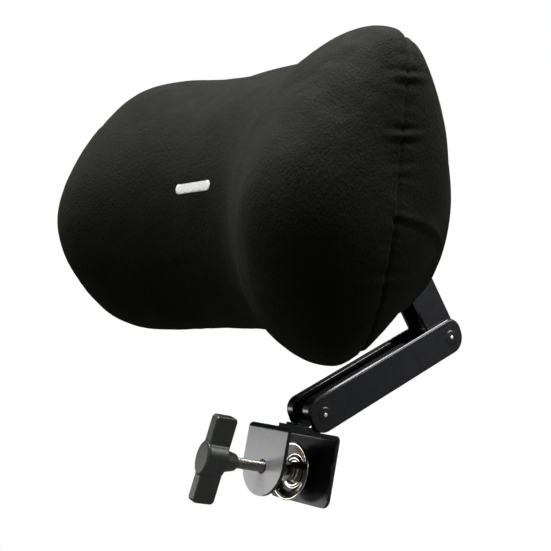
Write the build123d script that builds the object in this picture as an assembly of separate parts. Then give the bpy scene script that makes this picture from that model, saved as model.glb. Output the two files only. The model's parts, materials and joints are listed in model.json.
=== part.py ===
from build123d import *

import os
from math import cos, radians, sin

# Chair headrest attachment: a saddle-shaped pillow on a folding steel arm with a screw clamp.
#
# Millimetres. X runs across the chair, +Y towards the back, +Z up. The origin is on the clamp's
# back plate, on its inner face, level with the clamp screw.

# Clamp
SHEET = 2.2
JAW_GAP = 25.7
TONGUE_HALF = 18.2
TONGUE_BOTTOM = -15.7
PLATE_HALF = 25.9
PLATE_BOTTOM = -16.4
PLATE_CORNER = 5.0
BRIDGE_UNDER = 21.0
BRIDGE_TOP = BRIDGE_UNDER + SHEET
TONGUE_FRONT = -JAW_GAP - SHEET
BEND = 3.0
NUT_BORE_IN_TONGUE = 4.1
NUT_BODY_RADIUS = 6.2
NUT_BODY = 4.0
KNUCKLE_RIVET_X = (-3.0, 3.0)
KNUCKLE_RIVET_Y = -10.6

# Clamp screw, handle and pressure disc
SCREW_RADIUS = 3.0
RUNNING_GAP = 0.05
HUB_FRONT = -46.5
HANDLE_OUTER = -66.8
HANDLE_INNER = -53.4
HANDLE_HALF = 24.0
HANDLE_HALF_THICK = 3.2
HANDLE_LEAN = 11.5
HUB_RADIUS = 6.3
HUB_HALF_LENGTH = 9.5
HUB_BULGE = 0.8
NECK_RADIUS = 4.6
SCREW_TIP = -8.0
DISC_RIM_Y = -9.0
DISC_RADIUS = 16.3
DISC_FLOOR_RADIUS = 9.0
DISC_WALL = 1.2
DISC_DEPTH = 4.6

# Pivots, in the plane across X
BASE_PIVOT = (1.3, 33.5)
ARM_ANGLE = 34.7
ARM_LENGTH = 106.0
LINK_ANGLE = 135.0
LINK_LENGTH = 96.0
PIN_RADIUS = 3.0
PIN_HEAD_RADIUS = 4.6
PIN_HEAD = 1.0
SLEEVE_RADIUS = 4.6
WASHER_RADIUS = 7.4
WASHER = 0.5

# Arm shells, measured from the base pivot along and across the arm
ARM_OUTER = 10.8
ARM_WALL = 1.8
ARM_INNER = ARM_OUTER - ARM_WALL
ARM_FRONT_END = -10.0
ARM_REAR_END = ARM_LENGTH + 9.6
ARM_LOW = -10.0
ARM_HIGH = 11.2
ARM_LIP_END = ARM_LENGTH - 34.0
ARM_LIP_LOW = 2.4
ARM_SLOT_HALF = 4.5

# Knuckle and upper link
INNER_HALF = 8.4
INNER_WALL = 2.0
KNUCKLE_RADIUS = 7.8
KNUCKLE_FLOOR = 2.0
KNUCKLE_FRONT = -15.0
LUG_FOOT_FRONT = -5.0
RIVET_RADIUS = 2.0
LINK_LOW = -7.8
LINK_HIGH = 12.2
LINK_END = 8.6

# Pillow: its own frame is tilted back and stands behind and above the clamp
PILLOW_CENTRE = (0, -27.9, 145.0)
PILLOW_TILT = 4.0
PILLOW_HALF_WIDTH = 139.4
PILLOW_BACK = 28.0
COVER = 1.2
# The seam between the two cover panels: X and Y from the middle to past the end of a half
SEAM_LINE = [(0, -20), (60, -23), (110, -40), (150, -62)]
SECTION_POWER = 2.1
SECTION_POINTS = 24
# Half of the sections: distance from the middle, centre Y, half depth, half height
PILLOW_SECTIONS = [
    (0, -17, 53, 62),
    (30, -19, 56, 70),
    (60, -25, 60, 74.5),
    (88, -35, 62, 77),
    (112, -46, 55, 73),
    (130, -54, 41, 57),
    (138, -55, 18, 31),
]

# Bracket, board and fasteners on the pillow's back
BOARD = 5.0
BOARD_HALF_X = 48.0
BOARD_Z = (-14.0, 31.0)
PLATE_THICK = 2.0
PLATE_HALF_X = 30.0
PLATE_Z = (-10.0, 28.0)
BOLT_X = 22.0
BOLT_Z = 12.0
BOLT_RADIUS = 2.5
NUT_FLANGE = 7.0
NUT_BARREL = 3.4

# Zipper on the back panel, under the board
ZIP_Z = -22.0
ZIP_HALF = 56.0
TAPE_HALF = 6.0
TAPE = 0.8
CHAIN_HALF = 2.2
CHAIN = 1.4
SLIDER_HALF = (6.0, 4.5)
PULL_PIN_Y = PILLOW_BACK + TAPE + CHAIN + 3.8
PULL_PIN_RADIUS = 0.6
PULL_EYE_RADIUS = 1.5


def box(x, y, z):
    """A box from three (low, high) pairs."""
    size = [pair[1] - pair[0] for pair in (x, y, z)]
    middle = [(pair[0] + pair[1]) / 2 for pair in (x, y, z)]
    return Pos(*middle) * Box(*size)


def rod_x(radius, start, end, y=0.0, z=0.0):
    return Plane(origin=(start, y, z), z_dir=(1, 0, 0)) * extrude(Circle(radius), end - start)


def rod_y(radius, start, end, x=0.0, z=0.0):
    return Plane(origin=(x, start, z), z_dir=(0, 1, 0)) * extrude(Circle(radius), end - start)


def rod_z(radius, start, end, x=0.0, y=0.0):
    return Pos(x, y, start) * extrude(Circle(radius), end - start)


def lever_plane(pivot, angle):
    """Local X along a lever and local Y across it, both in the plane across X."""
    return Plane(
        origin=(0, pivot[0], pivot[1]),
        x_dir=(0, cos(radians(angle)), sin(radians(angle))),
        z_dir=(1, 0, 0),
    )


def lever_point(pivot, angle, reach):
    return (pivot[0] + reach * cos(radians(angle)), pivot[1] + reach * sin(radians(angle)))


ELBOW = lever_point(BASE_PIVOT, ARM_ANGLE, ARM_LENGTH)
HEAD_PIVOT = lever_point(ELBOW, LINK_ANGLE, LINK_LENGTH)
HEAD = Location(PILLOW_CENTRE, (PILLOW_TILT, 0, 0))


def rounded_outline(u, n, corners):
    """A rectangle from two (low, high) pairs, with one radius for each named corner."""
    outline = Pos(sum(u) / 2, sum(n) / 2) * Rectangle(u[1] - u[0], n[1] - n[0])
    for corner, radius in corners:
        vertex = outline.vertices().sort_by_distance((corner[0], corner[1], 0))[0]
        outline = fillet(vertex, radius)
    return outline


def both_sides(part):
    return part + mirror(part, about=Plane.YZ)


# ---------------------------------------------------------------- clamp

def clamp_frame():
    """An inverted U of bent sheet: tongue in front, bridge on top, wide plate behind."""
    outer = rounded_outline(
        (TONGUE_FRONT, SHEET),
        (PLATE_BOTTOM, BRIDGE_TOP),
        [((TONGUE_FRONT, BRIDGE_TOP), BEND), ((SHEET, BRIDGE_TOP), BEND)],
    )
    inner = rounded_outline(
        (-JAW_GAP, 0),
        (PLATE_BOTTOM - BEND, BRIDGE_UNDER),
        [((-JAW_GAP, BRIDGE_UNDER), BEND - SHEET), ((0, BRIDGE_UNDER), BEND - SHEET)],
    )
    across = Plane(origin=(-PLATE_HALF, 0, 0), x_dir=(0, 1, 0), z_dir=(1, 0, 0))
    frame = across * extrude(outer - inner, 2 * PLATE_HALF)
    low_corners = frame.edges().filter_by(Axis.Y).group_by(Axis.Z)[0]
    frame = fillet(low_corners.filter_by_position(Axis.Y, 0, SHEET), PLATE_CORNER)
    beside_tongue = Polygon(
        (TONGUE_HALF, TONGUE_FRONT - 1),
        (PLATE_HALF + 1, TONGUE_FRONT - 1),
        (PLATE_HALF + 1, 0),
        (PLATE_HALF, 0),
        (TONGUE_HALF, -JAW_GAP),
        align=None,
    )
    waste = Pos(0, 0, PLATE_BOTTOM - 1) * extrude(beside_tongue, BRIDGE_TOP - PLATE_BOTTOM + 2)
    frame -= both_sides(waste)
    round_centre = TONGUE_BOTTOM + TONGUE_HALF
    below = box(
        (-PLATE_HALF, PLATE_HALF),
        (TONGUE_FRONT - 1, -JAW_GAP + 0.01),
        (PLATE_BOTTOM - 1, round_centre),
    )
    frame -= below - rod_y(TONGUE_HALF, TONGUE_FRONT - 1, -JAW_GAP + 1, z=round_centre)
    frame -= rod_y(NUT_BORE_IN_TONGUE, TONGUE_FRONT - 1, -JAW_GAP + 1)
    for x in KNUCKLE_RIVET_X:
        frame -= rod_z(RIVET_RADIUS, BRIDGE_UNDER - 1, BRIDGE_TOP + 1, x, KNUCKLE_RIVET_Y)
    return frame


def clamp_nut():
    """A press nut behind the tongue, flush with its front."""
    nut = rod_y(NUT_BORE_IN_TONGUE, TONGUE_FRONT, -JAW_GAP)
    nut += rod_y(NUT_BODY_RADIUS, -JAW_GAP, -JAW_GAP + NUT_BODY)
    return nut - rod_y(SCREW_RADIUS + RUNNING_GAP, TONGUE_FRONT - 5, 0)


def base_knuckle():
    y, z = BASE_PIVOT
    floor_z = (BRIDGE_TOP, BRIDGE_TOP + KNUCKLE_FLOOR)
    floor = box((-INNER_HALF, INNER_HALF), (KNUCKLE_FRONT, 2.0), floor_z)
    lug_foot = Polygon(
        (y + LUG_FOOT_FRONT, BRIDGE_TOP),
        (2.0, BRIDGE_TOP),
        (y + KNUCKLE_RADIUS - 1.0, z - 3.0),
        (y, z),
        (y + LUG_FOOT_FRONT, z - 3.0),
        align=None,
    )
    lug_shape = lug_foot + Pos(y, z) * Circle(KNUCKLE_RADIUS)
    lug_plane = Plane(origin=(INNER_HALF - INNER_WALL, 0, 0), x_dir=(0, 1, 0), z_dir=(1, 0, 0))
    lug = lug_plane * extrude(lug_shape, INNER_WALL)
    knuckle = floor + both_sides(lug)
    knuckle -= rod_x(PIN_RADIUS + RUNNING_GAP, -INNER_HALF - 1, INNER_HALF + 1, y, z)
    for x in KNUCKLE_RIVET_X:
        knuckle -= rod_z(RIVET_RADIUS, BRIDGE_TOP - 1, floor_z[1] + 1, x, KNUCKLE_RIVET_Y)
    return knuckle


def knuckle_rivets():
    rivets = []
    top = BRIDGE_TOP + KNUCKLE_FLOOR
    for x in KNUCKLE_RIVET_X:
        rivet = rod_z(RIVET_RADIUS, BRIDGE_UNDER, top, x, KNUCKLE_RIVET_Y)
        rivet += rod_z(RIVET_RADIUS + 0.8, top, top + 1.2, x, KNUCKLE_RIVET_Y)
        rivets.append(rivet)
    return Compound(children=rivets)


# ---------------------------------------------------------------- pivots

def pivot_pin(pivot, outer_half):
    """A rivet whose heads clamp the outer walls of a pivot."""
    y, z = pivot
    pin = rod_x(PIN_RADIUS, -outer_half, outer_half, y, z)
    pin += rod_x(PIN_HEAD_RADIUS, outer_half, outer_half + PIN_HEAD, y, z)
    pin += rod_x(PIN_HEAD_RADIUS, -outer_half - PIN_HEAD, -outer_half, y, z)
    return pin


def pivot_sleeve(pivot):
    """A spacer tube between the two inner walls of a pivot."""
    y, z = pivot
    inside = INNER_HALF - INNER_WALL
    tube = rod_x(SLEEVE_RADIUS, -inside, inside, y, z)
    return tube - rod_x(PIN_RADIUS + RUNNING_GAP, -inside - 1, inside + 1, y, z)


def pivot_washers(pivot):
    """Friction washers between the inner and outer walls, one on each side."""
    y, z = pivot
    washer = rod_x(WASHER_RADIUS, ARM_INNER - WASHER, ARM_INNER, y, z)
    washer -= rod_x(PIN_RADIUS + RUNNING_GAP, INNER_HALF, ARM_INNER + 1, y, z)
    return Compound(children=[washer, mirror(washer, about=Plane.YZ)])


# ---------------------------------------------------------------- arm and link

def arm_shell_right():
    """Half of the arm: a flat side wall with a lip that runs along its top and round its front end."""
    outline = rounded_outline(
        (ARM_FRONT_END, ARM_REAR_END),
        (ARM_LOW, ARM_HIGH),
        [
            ((ARM_FRONT_END, ARM_LOW), -ARM_FRONT_END - 0.01),
            ((ARM_FRONT_END, ARM_HIGH), 7.5),
            ((ARM_REAR_END, ARM_HIGH), 9.0),
            ((ARM_REAR_END, ARM_LOW), 9.6),
        ],
    )
    lip_zone = Polygon(
        (ARM_FRONT_END - 1, ARM_LIP_LOW),
        (ARM_LIP_END, ARM_LIP_LOW),
        (ARM_LIP_END, ARM_HIGH + 1),
        (ARM_FRONT_END - 1, ARM_HIGH + 1),
        align=None,
    )
    lip_shape = (outline - offset(outline, -ARM_WALL)) & lip_zone
    shell = Pos(0, 0, ARM_INNER) * extrude(outline, ARM_WALL)
    shell += Pos(0, 0, ARM_SLOT_HALF) * extrude(lip_shape, ARM_OUTER - ARM_SLOT_HALF)
    shell = fillet(shell.edges().group_by(Axis.Z)[-1], 1.4)
    for u in (0, ARM_LENGTH):
        shell -= Pos(u, 0, ARM_INNER - 1) * extrude(Circle(PIN_RADIUS), ARM_WALL + 2)
    return lever_plane(BASE_PIVOT, ARM_ANGLE) * shell


def upper_link():
    """A channel, open towards the front, that nests inside the arm at the elbow."""
    outline = rounded_outline(
        (-LINK_END, LINK_LENGTH + LINK_END),
        (LINK_LOW, LINK_HIGH),
        [
            ((-LINK_END, LINK_LOW), 7.6),
            ((-LINK_END, LINK_HIGH), 8.0),
            ((LINK_LENGTH + LINK_END, LINK_HIGH), 8.0),
            ((LINK_LENGTH + LINK_END, LINK_LOW), 7.6),
        ],
    )
    wall = Pos(0, 0, INNER_HALF - INNER_WALL) * extrude(outline, INNER_WALL)
    wall += Pos(0, 0, -INNER_HALF) * extrude(outline, INNER_WALL)
    web = box((10.0, LINK_LENGTH - 12.0), (LINK_LOW, LINK_LOW + INNER_WALL), (-INNER_HALF, INNER_HALF))
    link = wall + web
    for u in (0, LINK_LENGTH):
        link -= Pos(u, 0, -INNER_HALF - 1) * extrude(
            Circle(PIN_RADIUS + RUNNING_GAP), 2 * INNER_HALF + 2
        )
    return lever_plane(ELBOW, LINK_ANGLE) * link


# ---------------------------------------------------------------- pillow

def pillow_section(x, centre_y, half_depth, half_height, inset):
    """One closed, rounded section of the pillow across X."""
    power = 2 / SECTION_POWER
    points = []
    for step in range(SECTION_POINTS):
        angle = 360 * step / SECTION_POINTS
        c, s = cos(radians(angle)), sin(radians(angle))
        y = centre_y + (half_depth - inset) * abs(c) ** power * (1 if c > 0 else -1)
        z = (half_height - inset) * abs(s) ** power * (1 if s > 0 else -1)
        points.append((x, y, z))
    return Face(Wire(Spline(*points, periodic=True).edges()))


def pillow_body(inset):
    """The pillow's outer form, or the form inside its cover, in the pillow's own frame."""
    stretch = (PILLOW_HALF_WIDTH - inset) / PILLOW_HALF_WIDTH
    right = [
        pillow_section(x * stretch, y, depth, height, inset)
        for x, y, depth, height in PILLOW_SECTIONS
    ]
    left = [
        pillow_section(-x * stretch, y, depth, height, inset)
        for x, y, depth, height in PILLOW_SECTIONS[:0:-1]
    ]
    body = loft(left + right)
    return body - box((-200, 200), (PILLOW_BACK - inset, 200), (-200, 200))


def bolt_places():
    middle = sum(PLATE_Z) / 2
    return [(x, middle + z) for x in (-BOLT_X, BOLT_X) for z in (-BOLT_Z, BOLT_Z)]


def back_board():
    board = box(
        (-BOARD_HALF_X, BOARD_HALF_X),
        (PILLOW_BACK - COVER - BOARD, PILLOW_BACK - COVER),
        BOARD_Z,
    )
    for x, z in bolt_places():
        board -= rod_y(NUT_BARREL, 0, PILLOW_BACK, x, z)
    return board


def tee_nuts():
    nuts = []
    board_front = PILLOW_BACK - COVER - BOARD
    for x, z in bolt_places():
        nut = rod_y(NUT_FLANGE, board_front - 1.2, board_front, x, z)
        nut += rod_y(NUT_BARREL, board_front, board_front + BOARD - 0.6, x, z)
        nuts.append(nut - rod_y(BOLT_RADIUS, 0, PILLOW_BACK, x, z))
    return Compound(children=nuts)


def bracket_bolts():
    bolts = []
    plate_back = PILLOW_BACK + PLATE_THICK
    for x, z in bolt_places():
        bolt = rod_y(BOLT_RADIUS, PILLOW_BACK - COVER - BOARD - 1.2, plate_back, x, z)
        head = rod_y(4.4, plate_back, plate_back + 2.6, x, z)
        socket = Plane(origin=(x, plate_back + 1.0, z), z_dir=(0, 1, 0)) * extrude(
            RegularPolygon(1.7, 6), 3
        )
        bolts.append(bolt + head - socket)
    return Compound(children=bolts)


def cover_shell():
    shell = pillow_body(0) - pillow_body(COVER)
    for x, z in bolt_places():
        shell -= rod_y(BOLT_RADIUS, 0, PILLOW_BACK + 1, x, z)
    return shell


def before_seam():
    """Everything in front of the seam, which runs further forward towards the ends."""
    left = [(-x, y) for x, y in SEAM_LINE[:0:-1]]
    seam = Spline(*left, *SEAM_LINE)
    far = SEAM_LINE[-1][0]
    edge = seam + Polyline(seam @ 1, (far, -200), (-far, -200), seam @ 0)
    return Pos(0, 0, -200) * extrude(make_face(edge), 400)


def foam_core():
    foam = pillow_body(COVER)
    foam -= box(
        (-BOARD_HALF_X, BOARD_HALF_X), (PILLOW_BACK - COVER - BOARD, PILLOW_BACK + 1), BOARD_Z
    )
    for x, z in bolt_places():
        foam -= rod_y(NUT_FLANGE, PILLOW_BACK - COVER - BOARD - 1.2, PILLOW_BACK, x, z)
    return foam


def pillow_bracket():
    """A base plate on the pillow's back with two lugs outside the link."""
    back = PILLOW_BACK
    plate = box((-PLATE_HALF_X, PLATE_HALF_X), (back, back + PLATE_THICK), PLATE_Z)
    plate = fillet(plate.edges().filter_by(Axis.Y), 5.0)
    for x, z in bolt_places():
        plate -= rod_y(BOLT_RADIUS, back - 1, back + PLATE_THICK + 1, x, z)
    pin_y, pin_z = head_pivot_in_pillow()
    lug_shape = Pos(pin_y, pin_z) * Circle(WASHER_RADIUS + 1.0)
    lug_shape += Polygon(
        (back + 0.5, PLATE_Z[0] + 4.0),
        (pin_y + 2.0, pin_z - WASHER_RADIUS - 0.7),
        (pin_y + 2.0, pin_z + WASHER_RADIUS + 0.7),
        (back + 0.5, PLATE_Z[1] - 4.0),
        align=None,
    )
    lug_plane = Plane(origin=(ARM_INNER, 0, 0), x_dir=(0, 1, 0), z_dir=(1, 0, 0))
    bracket = plate + both_sides(lug_plane * extrude(lug_shape, ARM_WALL))
    return bracket - rod_x(PIN_RADIUS, -ARM_OUTER - 1, ARM_OUTER + 1, pin_y, pin_z)


def head_pivot_in_pillow():
    """The head pivot's Y and Z in the pillow's own frame."""
    dy = HEAD_PIVOT[0] - PILLOW_CENTRE[1]
    dz = HEAD_PIVOT[1] - PILLOW_CENTRE[2]
    c, s = cos(radians(PILLOW_TILT)), sin(radians(PILLOW_TILT))
    return (dy * c + dz * s, dz * c - dy * s)


def zipper_tape():
    return box(
        (-ZIP_HALF - 4, ZIP_HALF + 4),
        (PILLOW_BACK, PILLOW_BACK + TAPE),
        (ZIP_Z - TAPE_HALF, ZIP_Z + TAPE_HALF),
    )


def zipper_teeth():
    low = PILLOW_BACK + TAPE
    return box((-ZIP_HALF, ZIP_HALF), (low, low + CHAIN), (ZIP_Z - CHAIN_HALF, ZIP_Z + CHAIN_HALF))


def zipper_slider():
    low = PILLOW_BACK + TAPE + 0.1
    centre_x = -ZIP_HALF + SLIDER_HALF[0] + 1
    x = (centre_x - SLIDER_HALF[0], centre_x + SLIDER_HALF[0])
    z = (ZIP_Z - SLIDER_HALF[1], ZIP_Z + SLIDER_HALF[1])
    slider = box(x, (low, low + CHAIN + 1.6), z)
    slider -= box(
        (x[0] - 1, x[1] + 1),
        (low - 1, low + CHAIN + 0.1),
        (ZIP_Z - CHAIN_HALF - 0.2, ZIP_Z + CHAIN_HALF + 0.2),
    )
    bail = rod_y(1.0, low + CHAIN + 1.6, PULL_PIN_Y + 1.0, centre_x, ZIP_Z - 1.5)
    bail += rod_y(1.0, low + CHAIN + 1.6, PULL_PIN_Y + 1.0, centre_x, ZIP_Z + 1.5)
    return slider + bail + rod_z(PULL_PIN_RADIUS, ZIP_Z - 1.5, ZIP_Z + 1.5, centre_x, PULL_PIN_Y)


def zipper_pull():
    """A flat tab with an eye round the slider's pin."""
    centre_x = -ZIP_HALF + SLIDER_HALF[0] + 1
    eye_z = (ZIP_Z - 0.4, ZIP_Z + 0.4)
    y = (PULL_PIN_Y - 0.6, PULL_PIN_Y + 0.6)
    pull = rod_z(PULL_EYE_RADIUS, *eye_z, centre_x, PULL_PIN_Y)
    pull += box((centre_x, centre_x + 4.0), y, eye_z)
    pull += box((centre_x + 3.0, centre_x + 20.0), y, (ZIP_Z - 3.0, ZIP_Z + 3.0))
    return pull - rod_z(PULL_PIN_RADIUS + RUNNING_GAP, *eye_z, centre_x, PULL_PIN_Y)


# ---------------------------------------------------------------- screw group

def clamp_screw():
    return rod_y(SCREW_RADIUS, HANDLE_OUTER + 4.0, SCREW_TIP)


def t_handle():
    """A flat cross bar that swells to an oval hub with a tapered neck, leaning from upright."""
    bar = box(
        (-HANDLE_HALF_THICK, HANDLE_HALF_THICK),
        (HANDLE_OUTER, HANDLE_INNER),
        (-HANDLE_HALF, HANDLE_HALF),
    )
    bar = fillet(bar.edges().filter_by(Axis.X), 2.5)
    bar = fillet(bar.edges(), 1.0)
    outer_face = HANDLE_OUTER - HUB_BULGE
    hub = Plane(origin=(0, outer_face, 0), x_dir=(1, 0, 0), z_dir=(0, 1, 0)) * extrude(
        Ellipse(HUB_RADIUS, HUB_HALF_LENGTH), HANDLE_INNER - 1.0 - outer_face
    )
    hub = fillet(hub.edges().group_by(Axis.Y)[0], 1.5)
    neck_profile = Polygon(
        (0, HANDLE_INNER - 2.0),
        (HUB_RADIUS - 0.1, HANDLE_INNER - 2.0),
        (HUB_RADIUS - 0.1, HANDLE_INNER - 0.5),
        (NECK_RADIUS, HUB_FRONT),
        (0, HUB_FRONT),
        align=None,
    )
    handle = Rot(0, HANDLE_LEAN, 0) * (bar + hub + revolve(neck_profile, Axis.Y))
    return handle - rod_y(SCREW_RADIUS, HANDLE_OUTER + 4.0, 0)


def thrust_washer():
    washer = rod_y(6.0, DISC_RIM_Y - 2.9, DISC_RIM_Y - 1.9)
    return washer - rod_y(SCREW_RADIUS + RUNNING_GAP, DISC_RIM_Y - 5, 0)


def pressure_disc():
    """A dished foot: a flat floor on the work side and a flared rim towards the screw."""
    floor_y = DISC_RIM_Y + DISC_DEPTH
    profile = Polygon(
        (0, floor_y - DISC_WALL),
        (DISC_FLOOR_RADIUS - 1, floor_y - DISC_WALL),
        (DISC_RADIUS - 1.6, DISC_RIM_Y),
        (DISC_RADIUS, DISC_RIM_Y),
        (DISC_RADIUS, DISC_RIM_Y + 1.0),
        (DISC_FLOOR_RADIUS, floor_y),
        (0, floor_y),
        align=None,
    )
    disc = revolve(profile, Axis.Y)
    return disc


def disc_socket():
    """The collar in the middle of the disc that the screw's end turns in."""
    collar = rod_y(5.4, DISC_RIM_Y - 1.0, DISC_RIM_Y + DISC_DEPTH - DISC_WALL)
    return collar - rod_y(SCREW_RADIUS + 0.3, DISC_RIM_Y - 2.0, SCREW_TIP + 0.3)


def disc_pad():
    floor_y = DISC_RIM_Y + DISC_DEPTH
    return rod_y(DISC_FLOOR_RADIUS, floor_y, floor_y + 1.0)


def in_pillow_frame(part):
    return HEAD * part


def main():
    os.makedirs("parts", exist_ok=True)
    shell = cover_shell()
    front_zone = before_seam()
    shell_right = arm_shell_right()
    parts = {
        "clamp_frame": clamp_frame(),
        "clamp_nut": clamp_nut(),
        "base_knuckle": base_knuckle(),
        "knuckle_rivets": knuckle_rivets(),
        "base_sleeve": pivot_sleeve(BASE_PIVOT),
        "base_pin": pivot_pin(BASE_PIVOT, ARM_OUTER),
        "base_washers": pivot_washers(BASE_PIVOT),
        "arm_shell_right": shell_right,
        "arm_shell_left": mirror(shell_right, about=Plane.YZ),
        "elbow_pin": pivot_pin(ELBOW, ARM_OUTER),
        "elbow_washers": pivot_washers(ELBOW),
        "elbow_sleeve": pivot_sleeve(ELBOW),
        "upper_link": upper_link(),
        "head_sleeve": pivot_sleeve(HEAD_PIVOT),
        "head_pin": pivot_pin(HEAD_PIVOT, ARM_OUTER),
        "head_washers": pivot_washers(HEAD_PIVOT),
        "pillow_bracket": in_pillow_frame(pillow_bracket()),
        "bracket_bolts": in_pillow_frame(bracket_bolts()),
        "tee_nuts": in_pillow_frame(tee_nuts()),
        "back_board": in_pillow_frame(back_board()),
        "foam_core": in_pillow_frame(foam_core()),
        "cover_front": in_pillow_frame(shell & front_zone),
        "cover_back": in_pillow_frame(shell - front_zone),
        "zipper_tape": in_pillow_frame(zipper_tape()),
        "zipper_teeth": in_pillow_frame(zipper_teeth()),
        "zipper_slider": in_pillow_frame(zipper_slider()),
        "zipper_pull": in_pillow_frame(zipper_pull()),
        "clamp_screw": clamp_screw(),
        "t_handle": t_handle(),
        "thrust_washer": thrust_washer(),
        "pressure_disc": pressure_disc(),
        "disc_socket": disc_socket(),
        "disc_pad": disc_pad(),
    }
    for name, part in parts.items():
        export_step(part, f"parts/{name}.step")


main()
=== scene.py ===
"""The looks of the chair headrest attachment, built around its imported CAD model. Metres, +Z up."""

import json
import math

import bmesh
import bpy
import numpy as np
from mathutils import Matrix, Vector
from mathutils.bvhtree import BVHTree
from mathutils.noise import noise

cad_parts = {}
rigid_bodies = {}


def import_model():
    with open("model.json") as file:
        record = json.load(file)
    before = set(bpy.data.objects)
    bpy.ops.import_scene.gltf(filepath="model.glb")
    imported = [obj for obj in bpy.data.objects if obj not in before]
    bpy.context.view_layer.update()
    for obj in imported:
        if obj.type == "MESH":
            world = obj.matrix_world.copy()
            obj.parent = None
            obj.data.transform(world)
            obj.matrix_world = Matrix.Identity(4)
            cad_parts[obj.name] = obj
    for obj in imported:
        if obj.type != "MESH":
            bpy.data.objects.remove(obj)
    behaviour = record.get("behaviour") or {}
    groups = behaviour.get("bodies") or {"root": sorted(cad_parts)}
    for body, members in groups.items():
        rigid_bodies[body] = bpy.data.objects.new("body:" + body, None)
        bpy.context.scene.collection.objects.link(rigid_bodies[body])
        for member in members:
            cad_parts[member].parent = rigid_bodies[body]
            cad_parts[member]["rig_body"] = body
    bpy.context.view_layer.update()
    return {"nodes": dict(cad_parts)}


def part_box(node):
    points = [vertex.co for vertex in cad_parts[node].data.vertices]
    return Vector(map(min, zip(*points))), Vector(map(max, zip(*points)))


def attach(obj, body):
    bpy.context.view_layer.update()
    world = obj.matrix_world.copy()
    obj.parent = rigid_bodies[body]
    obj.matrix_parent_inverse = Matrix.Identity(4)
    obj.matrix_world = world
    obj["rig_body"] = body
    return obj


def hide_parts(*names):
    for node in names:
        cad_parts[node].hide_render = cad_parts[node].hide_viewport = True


MM = 0.001

# Half widths and places that the CAD gives to parts shown here with more detail, in millimetres
ARM_OUTER = 10.8
ZIP_HALF = 56.0
ZIP_HEIGHT = -22.0
TAPE_BACK = 28.8

# Pillow frame: the place and lean of the pillow's own axes, as in the CAD
PILLOW_CENTRE = Vector((0, -27.9, 145.0)) * MM
PILLOW_LEAN = math.radians(4.0)
PILLOW_FRAME = Matrix.Translation(PILLOW_CENTRE) @ Matrix.Rotation(PILLOW_LEAN, 4, "X")

# Pillow form in millimetres, at the middle, the three quarter points and the end of a half
PILLOW_REACH = 139.0
HALF_DEPTH = (57, 60, 67, 62, 56)
HALF_HEIGHT = (74, 75, 79.8, 85.2, 93)
MIDDLE_Y = (-18, -17, -22, -42, -56)
MIDDLE_Z = (3.6, 2.6, 0.4, -0.8, 9)
# How square the form's section and its ends are: 2 is an ellipse, and more is squarer
SECTION_POWER = 1.76
END_POWER = 3.4
# How the form drops, turns and leans towards its ends, and how much taller its right half is
WING_DROP = 0.043
WING_TURN = -0.04
WING_LEAN = 0.075
WING_EXTRA = 0.058
# Places where the stuffing swells the form: amount, middle and reach. They are the same on both
# halves, but one whose X is below zero is on the left half only.
SWELLS = (
    (8.0, (107, -102, -22), (34, 30, 20)),
    (12.0, (63, -69, -80), (32, 30, 26)),
    (4.0, (112, -84, -52), (30, 30, 25)),
    (-9.5, (90, 2, -80), (30, 24, 20)),
    (4.5, (-52, -38, -84), (52, 34, 22)),
    (-2.2, (125, 0, 10), (25, 22, 45)),
    (-5.6, (117, -4, 76), (26, 24, 22)),
    (5.0, (90, -58, 82), (28, 30, 24)),
    (-4.0, (129, -78, 58), (20, 28, 28)),
)
BACK_Y = 28.0

# How the soft parts are worked, in millimetres: the size of the remesh's cells, the most that the cloth
# simulation may move a point, the cover's thickness, and the room between the cover and the foam
PILLOW_VOXEL = 4.0
CLOTH_CAP = 1.2
COVER = 1.2
FOAM_ROOM = 3.6

# The seam round the cover: its X and Y from the middle to past the end of a half
SEAM_X = (0, 60, 110, 150)
SEAM_Y = (-20, -23, -40, -62)
# On each end: the height of the long fold, and the height, length and rise of the short puckers
FOLD_HEIGHT = -24
PUCKERS = ((41, 10, 0.8), (14, 9, 1.2), (-2, 8, 0.4), (-50, 11, 0.5))

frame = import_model()


# ---------------------------------------------------------------- materials

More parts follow.
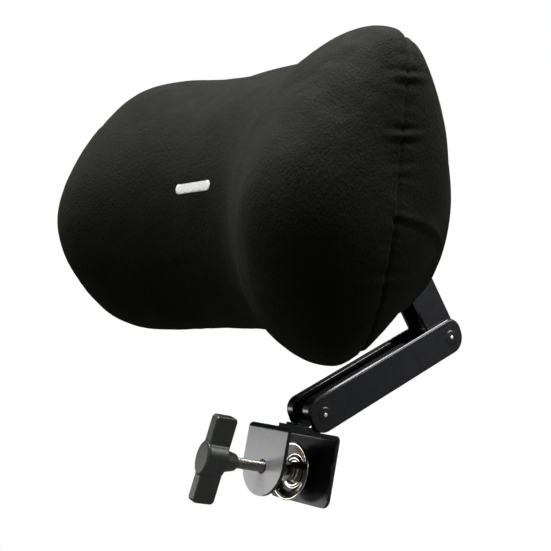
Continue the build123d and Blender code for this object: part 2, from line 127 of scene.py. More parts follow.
class Look:
    """A Principled material and short ways to add the noise, bump and colour that it needs."""

    def __init__(self, name, colour, roughness, **sockets):
        self.material = bpy.data.materials.new(name)
        self.material.use_nodes = True
        self.nodes = self.material.node_tree.nodes
        self.links = self.material.node_tree.links
        self.shader = self.nodes["Principled BSDF"]
        self.shader.inputs["Base Color"].default_value = (*colour, 1)
        self.shader.inputs["Roughness"].default_value = roughness
        for socket, value in sockets.items():
            self.shader.inputs[socket.replace("_", " ")].default_value = value
        self.place = self.nodes.new("ShaderNodeTexCoord").outputs["Object"]
        self.height = None

    def node(self, kind, settings=(), **inputs):
        made = self.nodes.new(kind)
        for key, value in dict(settings).items():
            setattr(made, key, value)
        for key, value in inputs.items():
            socket = made.inputs[key.replace("_", " ")]
            if isinstance(value, bpy.types.NodeSocket):
                self.links.new(value, socket)
            else:
                socket.default_value = value
        return made

    def stretched(self, scale):
        return self.node("ShaderNodeMapping", Vector=self.place, Scale=scale).outputs[0]

    def grain(self, per_metre, detail=3.0, rough=0.55, stretch=None):
        place = self.place if stretch is None else self.stretched(stretch)
        made = self.node("ShaderNodeTexNoise", Vector=place, Scale=per_metre, Detail=detail, Roughness=rough)
        return made.outputs["Fac"]

    def cells(self, per_metre, stretch=None):
        place = self.place if stretch is None else self.stretched(stretch)
        made = self.node("ShaderNodeTexVoronoi", [("feature", "SMOOTH_F1")], Vector=place, Scale=per_metre)
        return made.outputs["Distance"]

    def spread(self, value, low, high, start=0.3, end=0.7):
        made = self.node(
            "ShaderNodeMapRange", Value=value, From_Min=start, From_Max=end, To_Min=low, To_Max=high
        )
        return made.outputs["Result"]

    def between(self, value, dark, light, start=0.3, end=0.7):
        made = self.node("ShaderNodeValToRGB", Fac=value)
        ramp = made.color_ramp
        ramp.elements[0].position, ramp.elements[0].color = start, (*dark, 1)
        ramp.elements[1].position, ramp.elements[1].color = end, (*light, 1)
        return made.outputs["Color"]

    def colour(self, socket):
        self.links.new(socket, self.shader.inputs["Base Color"])
        return self

    def roughness(self, socket):
        self.links.new(socket, self.shader.inputs["Roughness"])
        return self

    def bump(self, height, distance, strength=1.0):
        """Adds a relief of that many metres on top of those already there."""
        made = self.node("ShaderNodeBump", Height=height, Distance=distance, Strength=strength)
        if self.height is not None:
            self.links.new(self.height, made.inputs["Normal"])
        self.height = made.outputs["Normal"]
        self.links.new(self.height, self.shader.inputs["Normal"])
        return self


def powder_coat():
    look = Look("powder_coat_black", (0.010, 0.010, 0.011), 0.2, Coat_Weight=0.3, Coat_Roughness=0.08)
    look.roughness(look.spread(look.grain(900), 0.16, 0.27))
    look.colour(look.between(look.grain(220, 5), (0.008, 0.008, 0.009), (0.014, 0.014, 0.015)))
    return look.bump(look.grain(1100, 2), 0.000009).bump(look.grain(5200, 1), 0.000003).material


# Light grey, half metallic material for the tongue's front face: a painted reflection of a bright light on
# what is glossy black paint, like the rest of the frame.
def painted_reflection_grey():
    look = Look("painted_reflection_grey", (0.47, 0.47, 0.47), 0.42, Metallic=0.5)
    look.roughness(look.spread(look.grain(1300, 4), 0.38, 0.50))
    look.colour(look.between(look.grain(700, 5), (0.44, 0.44, 0.44), (0.50, 0.50, 0.50)))
    return look.bump(look.grain(4200, 2), 0.000003).material


def bare_steel():
    look = Look("bare_steel", (0.86, 0.86, 0.84), 0.3, Metallic=0.35)
    look.roughness(look.spread(look.grain(1600, 4), 0.24, 0.38))
    look.colour(look.between(look.grain(900, 4), (0.80, 0.80, 0.78), (0.92, 0.92, 0.90)))
    return look.bump(look.grain(4000, 2), 0.000005).material


def zinc():
    look = Look("zinc_plate", (0.28, 0.26, 0.23), 0.25, Metallic=1.0)
    look.roughness(look.spread(look.grain(1400, 4), 0.16, 0.42))
    look.colour(look.between(look.grain(500, 5), (0.20, 0.19, 0.16), (0.36, 0.34, 0.30)))
    return look.bump(look.grain(6000, 2), 0.000008).material


def chrome():
    look = Look("chrome_plate", (0.62, 0.58, 0.52), 0.1, Metallic=1.0)
    look.roughness(look.spread(look.grain(700, 5), 0.06, 0.2))
    look.colour(look.between(look.grain(150, 4), (0.44, 0.38, 0.31), (0.76, 0.74, 0.70)))
    return look.bump(look.grain(330, 3), 0.00011).material


def handle_plastic():
    look = Look("handle_plastic", (0.030, 0.033, 0.028), 0.36, Specular_IOR_Level=0.6)
    look.roughness(look.spread(look.grain(1800), 0.28, 0.44))
    look.colour(look.between(look.grain(300, 5), (0.022, 0.025, 0.021), (0.038, 0.041, 0.035)))
    return look.bump(look.cells(1900), 0.00003).bump(look.grain(4200, 2), 0.000012).material


def rubber():
    look = Look("rubber_black", (0.02, 0.02, 0.02), 0.8)
    look.roughness(look.spread(look.grain(800), 0.68, 0.9))
    look.colour(look.between(look.grain(260, 5), (0.014, 0.014, 0.014), (0.030, 0.030, 0.029)))
    return look.bump(look.grain(2400, 3), 0.00004).material


def nylon():
    look = Look("nylon_black", (0.02, 0.02, 0.022), 0.42)
    look.roughness(look.spread(look.grain(1500), 0.34, 0.52))
    look.colour(look.between(look.grain(600, 4), (0.014, 0.014, 0.015), (0.028, 0.028, 0.030)))
    return look.bump(look.grain(3000, 2), 0.00002).material


def zip_enamel():
    look = Look("zip_enamel", (0.02, 0.02, 0.02), 0.28, Metallic=0.4, Coat_Weight=0.4)
    look.roughness(look.spread(look.grain(1200), 0.2, 0.4))
    look.colour(look.between(look.grain(900, 5), (0.012, 0.012, 0.012), (0.04, 0.038, 0.035)))
    return look.bump(look.grain(2600, 2), 0.00002).material


def knit():
    """Black elastic knit: small loops in wales, a heather of slightly warmer threads and a soft nap."""
    look = Look(
        "cover_knit", (0.006, 0.006, 0.005), 0.9,
        Specular_IOR_Level=0.04, Sheen_Weight=0.015, Sheen_Roughness=0.4, Sheen_Tint=(0.9, 0.88, 0.74, 1),
    )
    threads = look.grain(1500, 4, 0.65)
    look.colour(look.between(threads, (0.0038, 0.0039, 0.0030), (0.0099, 0.0101, 0.0074), 0.35, 0.68))
    look.roughness(look.spread(look.grain(90, 3), 0.78, 0.95))
    loops = look.cells(1150, (1.0, 1.0, 0.62))
    return look.bump(look.grain(120, 3), 0.0004).bump(loops, 0.00035).bump(threads, 0.00016).material


def woven_tape():
    look = Look("woven_tape", (0.018, 0.018, 0.018), 0.8, Sheen_Weight=0.15)
    look.colour(look.between(look.grain(1400, 4), (0.012, 0.012, 0.012), (0.030, 0.029, 0.027)))
    weave = look.node(
        "ShaderNodeTexWave", [("bands_direction", "DIAGONAL")],
        Vector=look.place, Scale=420.0, Distortion=0.6,
    )
    return look.bump(weave.outputs["Fac"], 0.0002).bump(look.grain(2500, 2), 0.0001).material


def foam():
    look = Look("open_cell_foam", (0.72, 0.68, 0.55), 0.9, Subsurface_Weight=0.1)
    look.colour(look.between(look.grain(70, 4), (0.66, 0.61, 0.47), (0.78, 0.75, 0.64)))
    return look.bump(look.cells(900), 0.0005).bump(look.grain(2000, 2), 0.0002).material


def plywood():
    look = Look("plywood", (0.60, 0.45, 0.29), 0.65)
    figure = look.grain(60, 5, 0.6, (0.25, 1.0, 4.0))
    look.colour(look.between(figure, (0.50, 0.35, 0.20), (0.70, 0.55, 0.38)))
    return look.bump(figure, 0.0001).material


def print_ink():
    look = Look("print_ink", (0.72, 0.72, 0.70), 0.6)
    look.colour(look.between(look.grain(1300, 3), (0.60, 0.60, 0.58), (0.82, 0.82, 0.80)))
    return look.bump(look.cells(1150, (1.0, 1.0, 0.62)), 0.0002).material


PAINT = powder_coat()
PAINTED_REFLECTION = painted_reflection_grey()
BARE = bare_steel()
ZINC = zinc()
CHROME = chrome()
HANDLE = handle_plastic()
RUBBER = rubber()
NYLON = nylon()
ENAMEL = zip_enamel()
KNIT = knit()
TAPE = woven_tape()
FOAM = foam()
PLY = plywood()
INK = print_ink()


# ---------------------------------------------------------------- mesh helpers

def new_piece(name, mesh, *materials):
    piece = bpy.data.objects.new(name, mesh)
    bpy.context.scene.collection.objects.link(piece)
    for material in materials:
        mesh.materials.append(material)
    return piece


def finished_mesh(shape, name):
    """The mesh of a bmesh that is done with."""
    mesh = bpy.data.meshes.new(name)
    shape.to_mesh(mesh)
    shape.free()
    return mesh


def stand_for(piece, slot, *nodes):
    """The piece takes the nodes' place, on their body."""
    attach(piece, frame["nodes"][nodes[0]]["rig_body"])
    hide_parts(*nodes)
    return piece


def smooth_faces(mesh):
    mesh.polygons.foreach_set("use_smooth", [True] * len(mesh.polygons))


def evaluated_copy(obj, name):
    """The object's mesh with its modifiers applied."""
    graph = bpy.context.evaluated_depsgraph_get()
    mesh = bpy.data.meshes.new_from_object(obj.evaluated_get(graph))
    mesh.name = name
    return mesh


def softened(node, edge, slot, *materials):
    """A hard part from its CAD mesh, with its sharp edges broken by a small round."""
    mesh = frame["nodes"][node].data.copy()
    mesh.materials.clear()
    shape = bmesh.new()
    shape.from_mesh(mesh)
    bmesh.ops.remove_doubles(shape, verts=shape.verts, dist=2e-6)
    bmesh.ops.dissolve_limit(shape, angle_limit=math.radians(0.6), verts=shape.verts, edges=shape.edges)
    shape.to_mesh(mesh)
    shape.free()
    smooth_faces(mesh)
    piece = new_piece(node + ".shown", mesh, *materials)
    bevel = piece.modifiers.new("broken_edges", "BEVEL")
    bevel.width = edge * MM
    bevel.segments = 2
    bevel.limit_method = "ANGLE"
    bevel.angle_limit = math.radians(35)
    bevel.use_clamp_overlap = True
    weighted = piece.modifiers.new("flat_normals", "WEIGHTED_NORMAL")
    weighted.keep_sharp = True
    return stand_for(piece, slot, node)


def moulded(node, voxel, rounds, material, slot):
    """A moulded part from its CAD mesh, with every edge and inner corner run together."""
    source = bpy.data.objects.new(node + ".mould", frame["nodes"][node].data.copy())
    bpy.context.scene.collection.objects.link(source)
    remesh = source.modifiers.new("voxels", "REMESH")
    remesh.mode, remesh.voxel_size = "VOXEL", voxel * MM
    relax = source.modifiers.new("relax", "SMOOTH")
    relax.factor, relax.iterations = 0.5, rounds
    mesh = evaluated_copy(source, node + ".shown")
    bpy.data.objects.remove(source)
    mesh.materials.clear()
    smooth_faces(mesh)
    return stand_for(new_piece(node + ".shown", mesh, material), slot, node)


def eased(profile, cut):
    """The profile with each inner corner replaced by a short curve."""
    points = [Vector(p) for p in profile]
    result = [points[0]]
    for before, corner, after in zip(points, points[1:], points[2:]):
        back = before - corner
        ahead = after - corner
        a = corner + back.normalized() * min(cut, 0.45 * back.length)
        b = corner + ahead.normalized() * min(cut, 0.45 * ahead.length)
        for t in (0, 0.33, 0.67, 1):
            result.append((1 - t) ** 2 * a + 2 * t * (1 - t) * corner + t * t * b)
    return result + [points[-1]]


def turned_mesh(name, profile, segments=72):
    """A solid turned about Y from (radius, y) pairs in millimetres. It closes on itself, or at the axis."""
    shape = bmesh.new()
    rings = []
    for radius, y in profile:
        if radius < 1e-6:
            rings.append([shape.verts.new((0, y * MM, 0))])
            continue
        turn = [2 * math.pi * i / segments for i in range(segments)]
        ring = [(radius * MM * math.cos(a), y * MM, radius * MM * math.sin(a)) for a in turn]
        rings.append([shape.verts.new(point) for point in ring])
    pairs = list(zip(rings, rings[1:]))
    if len(rings[0]) > 1 and len(rings[-1]) > 1:
        pairs.append((rings[-1], rings[0]))
    for low, high in pairs:
        for i in range(segments):
            j = (i + 1) % segments
            corners = [low[i % len(low)], low[j % len(low)], high[j % len(high)], high[i % len(high)]]
            unique = list(dict.fromkeys(corners))
            if len(unique) > 2:
                shape.faces.new(unique)
    bmesh.ops.recalc_face_normals(shape, faces=shape.faces)
    mesh = finished_mesh(shape, name)
    smooth_faces(mesh)
    return mesh


def middle(node):
    low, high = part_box(node)
    return (low + high) / 2


def lay_along_x(mesh, centre):
    mesh.transform(Matrix.Translation(centre) @ Matrix.Rotation(math.radians(-90), 4, "Z"))


# ---------------------------------------------------------------- pillow

def along_half(knots, s):
    """A smooth curve through five evenly spaced values, level at the middle of the pillow."""
    v = np.array([knots[1], *knots, 2 * knots[-1] - knots[-2]], float)
    t = np.clip(s, 0, 1) * 4
    i = np.minimum(t.astype(int), 3)
    f = t - i
    a, b, c, d = v[i], v[i + 1], v[i + 2], v[i + 3]
    return b + 0.5 * f * (c - a + f * (2 * a - 5 * b + 4 * c - d + f * (3 * (b - c) + d - a)))


def soft_limit(value, limit, round_over):
    """The lesser of value and limit, with the corner between them rounded."""
    gap = np.clip(0.5 + 0.5 * (limit - value) / round_over, 0, 1)
    return limit * (1 - gap) + value * gap - round_over * gap * (1 - gap)


def pillow_points(g, turn):
    """Points of the pillow's outside in its own frame, in millimetres. g runs from -1 to 1 across it."""
    s = np.abs(g)
    ends = np.maximum(1 - s**END_POWER, 0) ** (1 / END_POWER)
    depth = along_half(HALF_DEPTH, s) * ends
    height = along_half(HALF_HEIGHT, s) * ends * (1 + WING_EXTRA * g)
    c, d = np.cos(turn), np.sin(turn)
    power = 2 / SECTION_POWER
    forward = depth * np.sign(c) * np.abs(c) ** power
    upward = height * np.sign(d) * np.abs(d) ** power
    x = PILLOW_REACH * g
    y = along_half(MIDDLE_Y, s) + forward + WING_TURN * x + WING_LEAN * upward * s * s
    z = along_half(MIDDLE_Z, s) + upward - WING_DROP * x
    return np.stack([x, soft_limit(y, BACK_Y, 2.5), z], -1)


def pillow_form():
    """The closed outer form as a mesh."""
    across, around = 72, 96
    shape = bmesh.new()
    rings = []
    for i in range(1, across):
        g = -math.cos(math.pi * i / across)
        turn = np.linspace(0, 2 * math.pi, around, endpoint=False) + 0.01
        rings.append([shape.verts.new(Vector(p) * MM) for p in pillow_points(np.full(around, g), turn)])
    for low, high in zip(rings, rings[1:]):
        for k in range(around):
            n = (k + 1) % around
            shape.faces.new((low[k], high[k], high[n], low[n]))
    for ring in (rings[0], rings[-1]):
        centre = sum((v.co for v in ring), Vector()) / around
        tip = shape.verts.new(centre)
        for k in range(around):
            shape.faces.new((ring[k], ring[(k + 1) % around], tip))
    bmesh.ops.recalc_face_normals(shape, faces=shape.faces)
    mesh = finished_mesh(shape, "pillow_form")
    for swell in SWELLS:
        swell_form(mesh, *swell)
    return mesh


def swell_form(mesh, amount, centre, reach):
    """Moves the surface outwards round a centre, on both halves if its X is above zero."""
    mesh.update()
    co = coordinates(mesh) / MM
    side = co.copy()
    if centre[0] > 0:
        side[:, 0] = np.abs(side[:, 0])
    away = (side - centre) / reach
    rise = amount * np.exp(-0.5 * np.sum(away**2, 1))
    co += rise[:, None] * normals(mesh)
    co[:, 1] = np.minimum(co[:, 1], BACK_Y)
    set_coordinates(mesh, co * MM)


def coordinates(mesh):
    co = np.empty(len(mesh.vertices) * 3)
    mesh.vertices.foreach_get("co", co)
    return co.reshape(-1, 3)


def normals(mesh):
    n = np.empty(len(mesh.vertices) * 3)
    mesh.vertices.foreach_get("normal", n)
    return n.reshape(-1, 3)


def set_coordinates(mesh, co):
    mesh.vertices.foreach_set("co", np.asarray(co, float).ravel())
    mesh.update()


def remeshed(mesh, voxel):
    work = bpy.data.objects.new("pillow_work", mesh)
    bpy.context.scene.collection.objects.link(work)
    remesh = work.modifiers.new("voxels", "REMESH")
    remesh.mode, remesh.voxel_size = "VOXEL", voxel * MM
    relax = work.modifiers.new("relax", "SMOOTH")
    relax.factor, relax.iterations = 0.5, 3
    made = evaluated_copy(work, "pillow_remeshed")
    bpy.data.objects.remove(work)
    return made


def inflated(mesh):
    """The mesh's points after a short cloth simulation under inner pressure, moved by a capped amount."""
    start = coordinates(mesh)
    outward = normals(mesh)
    work = bpy.data.objects.new("pillow_cloth", mesh.copy())
    bpy.context.scene.collection.objects.link(work)
    cloth = work.modifiers.new("cloth", "CLOTH")
    cloth.settings.use_pressure = True
    cloth.settings.uniform_pressure_force = 4
    cloth.settings.effector_weights.gravity = 0
    cloth.settings.tension_stiffness = 30
    cloth.settings.compression_stiffness = 30
    cloth.settings.shear_stiffness = 12
    cloth.settings.bending_stiffness = 1.2
    cloth.settings.shrink_min = -0.02
    cloth.settings.quality = 5
    scene = bpy.context.scene
    for step in range(1, 21):
        scene.frame_set(step)
    swollen = coordinates(evaluated_copy(work, "pillow_swollen"))
    scene.frame_set(1)
    bpy.data.objects.remove(work)
    move = swollen - start
    move -= np.mean(np.sum(move * outward, 1)) * outward
    length = np.linalg.norm(move, axis=1, keepdims=True) / MM
    return start + move * CLOTH_CAP / np.maximum(CLOTH_CAP, length + 0.5)


def noise_at(points, per_mm, offset=0.0):
    return np.array([noise(Vector(p) * per_mm + Vector((offset, offset, offset))) for p in points])


def seam_at(x):
    """The seam's Y at a distance x from the middle: the curve through its four points."""
    x = np.abs(x)
    total = 0.0
    for i, (xi, yi) in enumerate(zip(SEAM_X, SEAM_Y)):
        term = yi
        for j, xj in enumerate(SEAM_X):
            if j != i:
                term = term * (x * x - xj * xj) / (xi * xi - xj * xj)
        total = total + term
    return total


def refine(mesh, passes):
    """Subdivides the mesh, and again near the seam."""
    shape = bmesh.new()
    shape.from_mesh(mesh)
    for reach in passes:
        near = {v for v in shape.verts if abs(v.co.y / MM - seam_at(v.co.x / MM)) < reach}
        edges = [e for e in shape.edges if e.verts[0] in near or e.verts[1] in near]
        bmesh.ops.subdivide_edges(shape, edges=edges, cuts=1, smooth=0.6, use_grid_fill=True)
    shape.to_mesh(mesh)
    shape.free()
    return mesh


def end_creases(co, away):
    """On each end, one long fold runs back from the seam and short puckers pull at it."""
    end = np.clip((np.abs(co[:, 0]) - 88) / 25, 0, 1) * np.clip((away + 3) / 3, 0, 1)
    below = co[:, 2] - FOLD_HEIGHT
    fold = 0.8 * np.exp(-(((below - 2.4) / 2.2) ** 2)) - 1.3 * np.exp(-((below / 1.1) ** 2))
    total = fold * end * np.clip((52 - away) / 12, 0, 1)
    for height, length, rise in PUCKERS:
        beside = np.abs(co[:, 2] - height - 0.25 * away)
        reach = np.exp(-((away / length) ** 2)) * np.clip((np.abs(co[:, 0]) - 95) / 20, 0, 1)
        ridge = np.exp(-((beside / 2.0) ** 2))
        valleys = 0.8 * np.exp(-(((beside - 3.2) / 1.4) ** 2))
        total += rise * reach * (ridge - valleys)
    return total


def press_seam(mesh):
    """Draws the cover in along the seam, gathers it in small folds beside it and adds slack."""
    mesh.update()
    co = coordinates(mesh) / MM
    out = normals(mesh)
    away = co[:, 1] - seam_at(co[:, 0])
    around = np.stack([co[:, 0], np.zeros(len(co)), co[:, 2]], -1)
    gathers = noise_at(around, 0.16) + 0.5 * noise_at(around, 0.37, 7.0)
    groove = -1.3 * np.exp(-((away / 1.3) ** 2)) - 0.5 * np.exp(-((away / 6.0) ** 2))
    folds = 0.5 * gathers * np.exp(-((away / 8.0) ** 2)) * (0.4 + 0.6 * np.abs(co[:, 0]) / PILLOW_REACH)
    slack = 0.8 * noise_at(co, 0.022, 3.0) + 0.3 * noise_at(co, 0.06, 5.0)
    free = np.clip((BACK_Y - 1.0 - co[:, 1]) / 8.0, 0, 1)
    co += out * (groove + folds + slack * free + end_creases(co, away))[:, None]
    co[:, 1] = np.minimum(co[:, 1], BACK_Y - 0.02)
    set_coordinates(mesh, co * MM)


def half_of(mesh, front, name):
    """The part of the cover before or behind the seam, as a sheet with thickness."""
    shape = bmesh.new()
    shape.from_mesh(mesh)
    for vert in shape.verts:
        vert.co.y -= seam_at(vert.co.x / MM) * MM
    bmesh.ops.bisect_plane(
        shape, geom=shape.verts[:] + shape.edges[:] + shape.faces[:],
        plane_co=(0, 0, 0), plane_no=(0, 1, 0), dist=1e-6, clear_outer=front, clear_inner=not front,
    )
    for vert in shape.verts:
        vert.co.y += seam_at(vert.co.x / MM) * MM
    for edge in shape.edges:
        edge.smooth = not edge.is_boundary
    made = finished_mesh(shape, name)
    made.transform(PILLOW_FRAME)
    smooth_faces(made)
    piece = new_piece(name, made, KNIT)
    thick = piece.modifiers.new("thickness", "SOLIDIFY")
    thick.thickness, thick.offset = COVER * MM, -1
    thick.use_even_offset = False
    return piece


def foam_mesh(mesh):
    """The foam under the cover, with a pocket for the board and its nuts."""
    inner = mesh.copy()
    inner.update()
    co = coordinates(inner) / MM - normals(inner) * (COVER + FOAM_ROOM)
    pocket = (np.abs(co[:, 0]) < 52) & (co[:, 2] > -18) & (co[:, 2] < 35) & (co[:, 1] > 0)
    co[:, 1] = np.where(pocket, np.minimum(co[:, 1], BACK_Y - 8.2), co[:, 1])
    set_coordinates(inner, co * MM)
    inner.transform(PILLOW_FRAME)
    smooth_faces(inner)
    return inner


def build_pillow():
    """The foam and the two halves of the cover. It returns the front one."""
    form = remeshed(pillow_form(), PILLOW_VOXEL)
    set_coordinates(form, inflated(form))
    foam_piece = new_piece("foam_block", foam_mesh(form), FOAM)
    stand_for(foam_piece, "foam", "foam_core")
    cover = refine(form.copy(), (1000, 14, 5))
    press_seam(cover)
    front = half_of(cover, True, "cover_front_panel")
    back = half_of(cover, False, "cover_back_panel")
    for piece, node in ((front, "cover_front"), (back, "cover_back")):
        stand_for(piece, "cover_fabric", node)
    return front


def print_on(cover, name, outline, lift=0.12):
    """A flat printed mark on the cover's front. Its outline is in the pillow's frame, in millimetres."""
    shape = bmesh.new()
    corners = [shape.verts.new((x * MM, 0, z * MM)) for x, z in outline]
    shape.faces.new(corners)
    bmesh.ops.triangulate(shape, faces=shape.faces[:])
    for _ in range(4):
        long_edges = [e for e in shape.edges if e.calc_length() > 1.6 * MM]
        bmesh.ops.subdivide_edges(shape, edges=long_edges, cuts=1)
        bmesh.ops.triangulate(shape, faces=shape.faces[:])
    graph = bpy.context.evaluated_depsgraph_get()
    surface = BVHTree.FromObject(cover, graph)
    along = PILLOW_FRAME.to_3x3() @ Vector((0, 1, 0))
    for vert in shape.verts:
        start = PILLOW_FRAME @ Vector((vert.co.x, -0.2, vert.co.z))
        hit, normal, _, _ = surface.ray_cast(start, along)
        vert.co = hit + normal * lift * MM
    if sum((f.normal.y for f in shape.faces)) > 0:
        bmesh.ops.reverse_faces(shape, faces=shape.faces)
    mesh = finished_mesh(shape, name)
    smooth_faces(mesh)
    piece = new_piece(name, mesh, INK)
    thick = piece.modifiers.new("thickness", "SOLIDIFY")
    thick.thickness, thick.offset = 0.2 * MM, -1
    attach(piece, "headrest")
    return piece


def stadium(centre, half_length, radius):
    """The outline of a level bar with round ends."""
    points = []
    for side in (1, -1):
        for step in range(13):
            a = math.radians(-90 + 15 * step)
            x = side * (half_length + radius * math.cos(a))
            z = side * radius * math.sin(a)
            points.append((centre[0] + x, centre[1] + z))
    return points


# ---------------------------------------------------------------- metal and plastic parts

def rivet(node, outer_half):
    """A pivot rivet: a shank with a low black head at each end and a small bright centre."""
    profile = [
        (0.0, 0.8), (0.6, 0.76), (1.0, 0.62), (1.2, 0.34), (1.35, 0.26), (2.6, 0.34),
        (3.8, 0.3), (4.4, 0.2), (4.6, 0.08), (4.6, 0.0),
    ]
    side = [(r, outer_half + h) for r, h in profile]
    whole = side + [(3.0, outer_half), (3.0, -outer_half)] + [(r, -y) for r, y in side[::-1]]
    mesh = turned_mesh(node + ".shown", whole, 48)
    centre = middle(node)
    lay_along_x(mesh, centre)
    piece = new_piece(node + ".shown", mesh, PAINT, BARE)
    for face in mesh.polygons:
        offset = face.center - centre
        near_axis = math.hypot(offset.y, offset.z) < 1.25 * MM
        face.material_index = 1 if near_axis else 0
    return stand_for(piece, "frame_black", node)


def threaded_rod(node):
    """The clamp screw: a thread of one millimetre pitch cut in a bar, with a chamfer at each end."""
    low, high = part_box(node)
    start, end = low.y / MM, high.y / MM
    major, minor, pitch, around = 2.98, 2.45, 1.0, 28
    rows = int((end - start) / pitch * 8)
    shape = bmesh.new()
    rings = []
    for row in range(rows + 1):
        y = start + (end - start) * row / rows
        taper = min(1.0, 0.62 + (y - start) * 0.6, 0.62 + (end - y) * 0.6)
        ring = []
        for k in range(around):
            phase = (y / pitch + k / around) % 1.0
            tooth = min(1.0, max(0.0, 2.4 * abs(2 * phase - 1) - 0.7))
            radius = (minor + (major - minor) * tooth) * taper * MM
            a = 2 * math.pi * k / around
            ring.append(shape.verts.new((radius * math.cos(a), y * MM, radius * math.sin(a))))
        rings.append(ring)
    for a, b in zip(rings, rings[1:]):
        for k in range(around):
            n = (k + 1) % around
            shape.faces.new((a[k], a[n], b[n], b[k]))
    shape.faces.new(rings[0][::-1])
    shape.faces.new(rings[-1])
    bmesh.ops.recalc_face_normals(shape, faces=shape.faces)
    mesh = finished_mesh(shape, node + ".shown")
    smooth_faces(mesh)
    return stand_for(new_piece(node + ".shown", mesh, ZINC), "zinc_steel", node)


def dished_disc(node):
    """The pressure disc: a pressed cup with a rolled rim, a raised ring and a flat foot."""
    rim_y, foot_y = -9.0, -4.4
    profile = [
        (0.0, foot_y - 1.2), (6.0, foot_y - 1.2), (6.9, foot_y - 1.9), (8.2, foot_y - 1.9),
        (9.2, foot_y - 1.3), (11.4, foot_y - 2.1), (14.2, rim_y + 0.25), (15.1, rim_y + 0.02),
        (16.0, rim_y + 0.1), (16.3, rim_y + 0.6), (15.9, rim_y + 1.15), (14.9, rim_y + 1.2),
        (12.0, foot_y - 0.95), (9.6, foot_y - 0.05), (8.8, foot_y), (0.0, foot_y),
    ]
    mesh = turned_mesh(node + ".shown", eased(profile, 0.6), 96)
    return stand_for(new_piece(node + ".shown", mesh, CHROME), "chrome_steel", node)


def crimped_collar(node):
    """The socket in the disc: a collar with a rolled lip and a waist."""
    profile = [
        (3.3, -7.7), (3.3, -9.6), (3.7, -10.0), (4.6, -10.0), (5.3, -9.5), (5.35, -8.8), (4.7, -8.3),
        (4.7, -7.2), (5.35, -6.5), (5.4, -5.6), (0.0, -5.6), (0.0, -7.7),
    ]
    mesh = turned_mesh(node + ".shown", eased(profile, 0.35), 64)
    return stand_for(new_piece(node + ".shown", mesh, CHROME), "chrome_steel", node)


def grooved_pad(node):
    """The foot's rubber pad, with rings moulded in its face."""
    low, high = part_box(node)
    inner, face = low.y / MM, high.y / MM
    profile = [(0.0, inner), (8.95, inner), (8.95, face - 0.15)]
    for radius in (8.4, 6.9, 5.4, 3.9, 2.4):
        profile += [(radius, face), (radius - 0.5, face)]
        profile += [(radius - 0.75, face - 0.3), (radius - 1.0, face - 0.3)]
    profile += [(0.9, face), (0.0, face)]
    mesh = turned_mesh(node + ".shown", profile, 72)
    return stand_for(new_piece(node + ".shown", mesh, RUBBER), "rubber_black", node)


def zipper_chain(node):
    """Two rows of interlocking teeth along the tape, in place of the CAD's solid strip."""
    pitch = 1.6
    shape = bmesh.new()
    for i in range(int(2 * ZIP_HALF / pitch)):
        side = 1 if i % 2 else -1
        place = Vector((pitch * (i + 0.5) - ZIP_HALF, TAPE_BACK + 0.66, ZIP_HEIGHT + side * 0.72))
        block = bmesh.ops.create_cube(shape, size=1.0)["verts"]
        bmesh.ops.scale(shape, vec=Vector((0.95, 1.3, 2.7)) * MM, verts=block)
        bmesh.ops.translate(shape, vec=place * MM, verts=block)
    mesh = finished_mesh(shape, node + ".shown")
    mesh.transform(PILLOW_FRAME)
    piece = new_piece(node + ".shown", mesh, NYLON)
    bevel = piece.modifiers.new("broken_edges", "BEVEL")
    bevel.width, bevel.segments = 0.28 * MM, 2
    return stand_for(piece, "nylon_black", node)


def carry(node, material):
    """A CAD node that stays as it is, with its material."""
    mesh = frame["nodes"][node].data
    mesh.materials.clear()
    mesh.materials.append(material)


def paint_tongue_reflection(piece):
    """The tongue's flat front face gets a light grey, half metallic material: a painted reflection of a
    bright light in the frame's glossy black paint. The rest of the frame is black.
    """
    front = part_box("clamp_frame")[0].y
    for face in piece.data.polygons:
        if face.normal.y < -0.99 and face.center.y < front + 0.05 * MM:
            face.material_index = 1


def build_hardware():
    # The frame's second material paints a bright light's reflection on the tongue's flat front face as light
    # grey.
    frame_piece = softened("clamp_frame", 0.35, "frame_black", PAINT, PAINTED_REFLECTION)
    paint_tongue_reflection(frame_piece)
    for node, edge in (
        ("base_knuckle", 0.3), ("knuckle_rivets", 0.4), ("arm_shell_right", 0.35),
        ("arm_shell_left", 0.35), ("upper_link", 0.35), ("pillow_bracket", 0.35),
    ):
        softened(node, edge, "frame_black", PAINT)
    softened("clamp_nut", 0.25, "zinc_steel", PAINT)
    softened("thrust_washer", 0.2, "zinc_steel", ZINC)
    softened("bracket_bolts", 0.3, "zinc_steel", ZINC)
    softened("zipper_slider", 0.3, "zip_metal", ENAMEL)
    softened("zipper_pull", 0.3, "zip_metal", ENAMEL)
    softened("zipper_tape", 0.2, "cover_fabric", TAPE)
    for node in ("base_pin", "elbow_pin", "head_pin"):
        rivet(node, ARM_OUTER)
    threaded_rod("clamp_screw")
    moulded("t_handle", 0.4, 5, HANDLE, "handle_plastic")
    dished_disc("pressure_disc")
    crimped_collar("disc_socket")
    grooved_pad("disc_pad")
    zipper_chain("zipper_teeth")
    for node in ("base_sleeve", "elbow_sleeve", "head_sleeve", "tee_nuts"):
        carry(node, ZINC)
    for node in ("base_washers", "elbow_washers", "head_washers"):
        carry(node, NYLON)
    carry("back_board", PLY)


# ---------------------------------------------------------------- stage

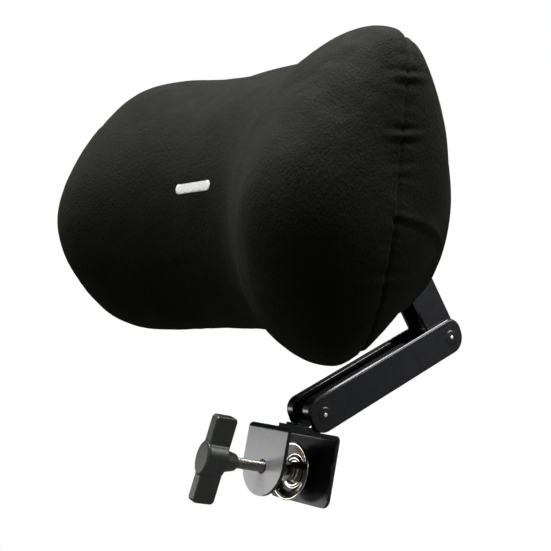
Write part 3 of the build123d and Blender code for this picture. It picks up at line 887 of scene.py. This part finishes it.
def plain_stage():
    """A pale floor that runs up into a backdrop. The camera sees it white, and it lights little."""
    width, depth, radius, low = 6.0, 5.0, 1.5, -0.42
    shape = bmesh.new()
    line = [(-depth, 0.0), (0.0, 0.0)]
    line += [(radius * math.sin(a), radius * (1 - math.cos(a))) for a in np.linspace(0.05, math.pi / 2, 14)]
    line += [(radius, 5.0)]
    turn = Matrix.Rotation(math.radians(54.6), 4, "Z")
    rows = []
    for y, z in line:
        rows.append([shape.verts.new(turn @ Vector((x, y + 1.6, z + low))) for x in (-width, width)])
    for a, b in zip(rows, rows[1:]):
        shape.faces.new((a[0], a[1], b[1], b[0]))
    mesh = finished_mesh(shape, "floor")
    smooth_faces(mesh)
    floor = bpy.data.objects.new("floor", mesh)
    bpy.context.scene.collection.objects.link(floor)
    mesh.materials.append(pale_floor())


def pale_floor():
    """White to the camera, and dark and matt to every other ray."""
    material = bpy.data.materials.new("pale_floor")
    material.use_nodes = True
    nodes, links = material.node_tree.nodes, material.node_tree.links
    nodes.clear()
    seen = nodes.new("ShaderNodeLightPath")
    white = nodes.new("ShaderNodeEmission")
    white.inputs["Color"].default_value = (1, 1, 1, 1)
    matt = nodes.new("ShaderNodeBsdfDiffuse")
    matt.inputs["Color"].default_value = (0.08, 0.08, 0.08, 1)
    mix = nodes.new("ShaderNodeMixShader")
    out = nodes.new("ShaderNodeOutputMaterial")
    links.new(seen.outputs["Is Camera Ray"], mix.inputs[0])
    links.new(matt.outputs[0], mix.inputs[1])
    links.new(white.outputs[0], mix.inputs[2])
    links.new(mix.outputs[0], out.inputs["Surface"])
    return material


def studio_world():
    world = bpy.data.worlds.new("studio")
    bpy.context.scene.world = world
    world.use_nodes = True
    nodes, links = world.node_tree.nodes, world.node_tree.links
    dim = nodes["Background"]
    dim.inputs["Color"].default_value = (0.92, 0.96, 1.0, 1)
    dim.inputs["Strength"].default_value = 0.155
    white = nodes.new("ShaderNodeBackground")
    white.inputs["Strength"].default_value = 1.0
    white.inputs["Color"].default_value = (1, 1, 1, 1)
    seen = nodes.new("ShaderNodeLightPath")
    mix = nodes.new("ShaderNodeMixShader")
    links.new(seen.outputs["Is Camera Ray"], mix.inputs[0])
    links.new(dim.outputs[0], mix.inputs[1])
    links.new(white.outputs[0], mix.inputs[2])
    links.new(mix.outputs[0], nodes["World Output"].inputs["Surface"])


def softbox(name, direction, distance, size, power, aim=(0, -0.03, 0.09)):
    data = bpy.data.lights.new(name, "AREA")
    data.shape = "RECTANGLE"
    data.size, data.size_y = size
    data.energy = power
    lamp = bpy.data.objects.new(name, data)
    bpy.context.scene.collection.objects.link(lamp)
    towards = Vector(direction).normalized()
    lamp.location = Vector(aim) + towards * distance
    lamp.rotation_euler = towards.to_track_quat("Z", "Y").to_euler()


def camera():
    """The photograph's viewpoint: a little below the object, turned and rolled."""
    turn, rise, roll = math.radians(54.58), math.radians(-7.61), math.radians(10.06)
    back = Vector((math.sin(turn) * math.cos(rise), -math.cos(turn) * math.cos(rise), math.sin(rise)))
    level = Vector((math.cos(turn), math.sin(turn), 0))
    upright = back.cross(level)
    right = level * math.cos(roll) + upright * math.sin(roll)
    up = upright * math.cos(roll) - level * math.sin(roll)
    place = Vector((0.4964, -0.3941, 0.02215))
    data = bpy.data.cameras.new("camera")
    data.sensor_width, data.lens = 36.0, 73.06
    data.clip_start, data.clip_end = 0.01, 50
    view = bpy.data.objects.new("camera", data)
    bpy.context.scene.collection.objects.link(view)
    view.matrix_world = Matrix.Translation(place) @ Matrix((right, up, back)).transposed().to_4x4()
    bpy.context.scene.camera = view


def main():
    front = build_pillow()
    print_on(front, "print_bar", stadium((0, -3), 15, 2.6))
    build_hardware()
    plain_stage()
    studio_world()
    softbox("top", (-0.03, -0.26, 0.96), 1.5, (1.7, 1.7), 138)
    softbox("side", (-0.80, -0.58, -0.30), 1.4, (0.6, 0.6), 5.2, (0, -0.04, 0.0))
    softbox("rim", (0.72, 0.50, 0.48), 1.5, (0.5, 0.5), 7, (0, 0.04, 0.06))
    camera()
    bpy.context.scene.view_settings.view_transform = "Standard"


main()
